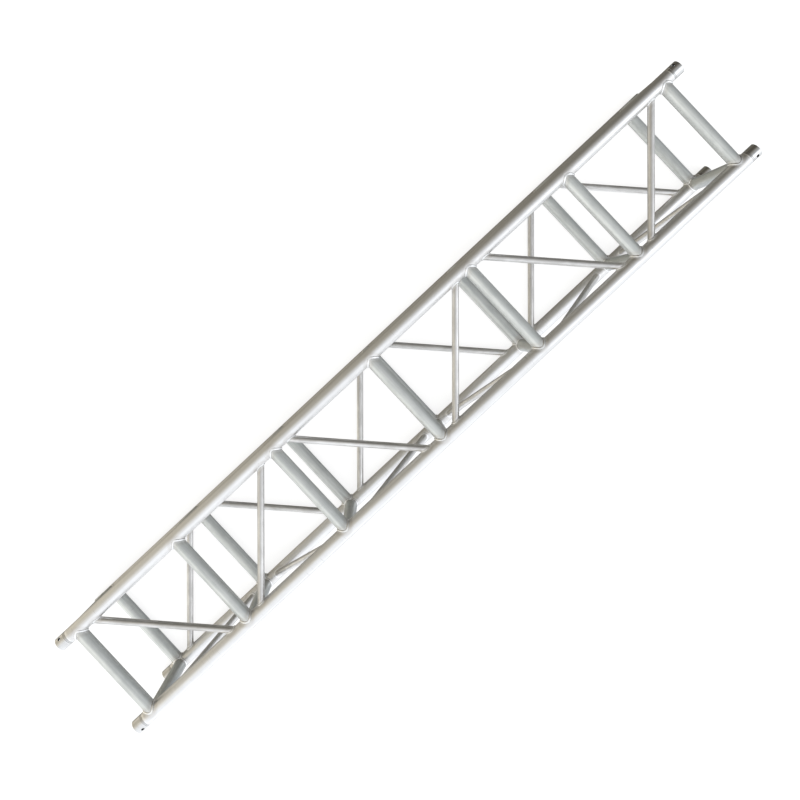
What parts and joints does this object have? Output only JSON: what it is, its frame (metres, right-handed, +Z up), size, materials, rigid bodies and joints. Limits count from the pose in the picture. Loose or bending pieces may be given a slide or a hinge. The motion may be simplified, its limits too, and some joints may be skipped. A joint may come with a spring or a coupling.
{
  "type": "lighting truss section",
  "caption": "Square box truss section: tubular chords joined by rungs and zigzag braces, with conical coupler receivers cross-drilled for locking pins.",
  "frame": {"origin": "centre of the square section's length and width, on the plane that the two lower chords rest on", "axes": "+X along the chords from end a to end b, +Y towards the left-hand chords, +Z up"},
  "size_m": [3, 0.45, 0.45],
  "materials": {
    "chord": "mill-finish extruded tube, bright, with faint lengthwise drawing lines and scuffs",
    "receiver": "turned aluminium, fine lathe lines, bright",
    "rung": "mill-finish tube, duller than the chords, streaked and blotched",
    "brace": "mill-finish small tube, scratched and pitted",
    "weld": "bright rippled bead left as welded"
  },
  "bodies": {
    "root": {"chord_top_left": "chord", "chord_top_right": "chord", "chord_bottom_right": "chord", "chord_bottom_left": "chord", "receiver_top_left_a": "receiver", "receiver_top_left_b": "receiver", "receiver_top_right_a": "receiver", "receiver_top_right_b": "receiver", "receiver_bottom_right_a": "receiver", "receiver_bottom_right_b": "receiver", "receiver_bottom_left_a": "receiver", "receiver_bottom_left_b": "receiver", "rung_top_1": "rung", "rung_top_2": "rung", "rung_top_3": "rung", "rung_top_4": "rung", "rung_top_5": "rung", "rung_top_6": "rung", "rung_top_7": "rung", "rung_right_1": "rung", "rung_right_2": "rung", "rung_right_3": "rung", "rung_right_4": "rung", "rung_right_5": "rung", "rung_right_6": "rung", "rung_right_7": "rung", "rung_bottom_1": "rung", "rung_bottom_2": "rung", "rung_bottom_3": "rung", "rung_bottom_4": "rung", "rung_bottom_5": "rung", "rung_bottom_6": "rung", "rung_bottom_7": "rung", "rung_left_1": "rung", "rung_left_2": "rung", "rung_left_3": "rung", "rung_left_4": "rung", "rung_left_5": "rung", "rung_left_6": "rung", "rung_left_7": "rung", "braces_top_1_2": "brace", "braces_top_3_4": "brace", "braces_top_5_6": "brace", "braces_right_1_2": "brace", "braces_right_3_4": "brace", "braces_right_5_6": "brace", "braces_bottom_1_2": "brace", "braces_bottom_3_4": "brace", "braces_bottom_5_6": "brace", "braces_left_1_2": "brace", "braces_left_3_4": "brace", "braces_left_5_6": "brace", "welds_top_left": "weld", "welds_top_right": "weld", "welds_bottom_right": "weld", "welds_bottom_left": "weld"}
  },
  "joints": []
}
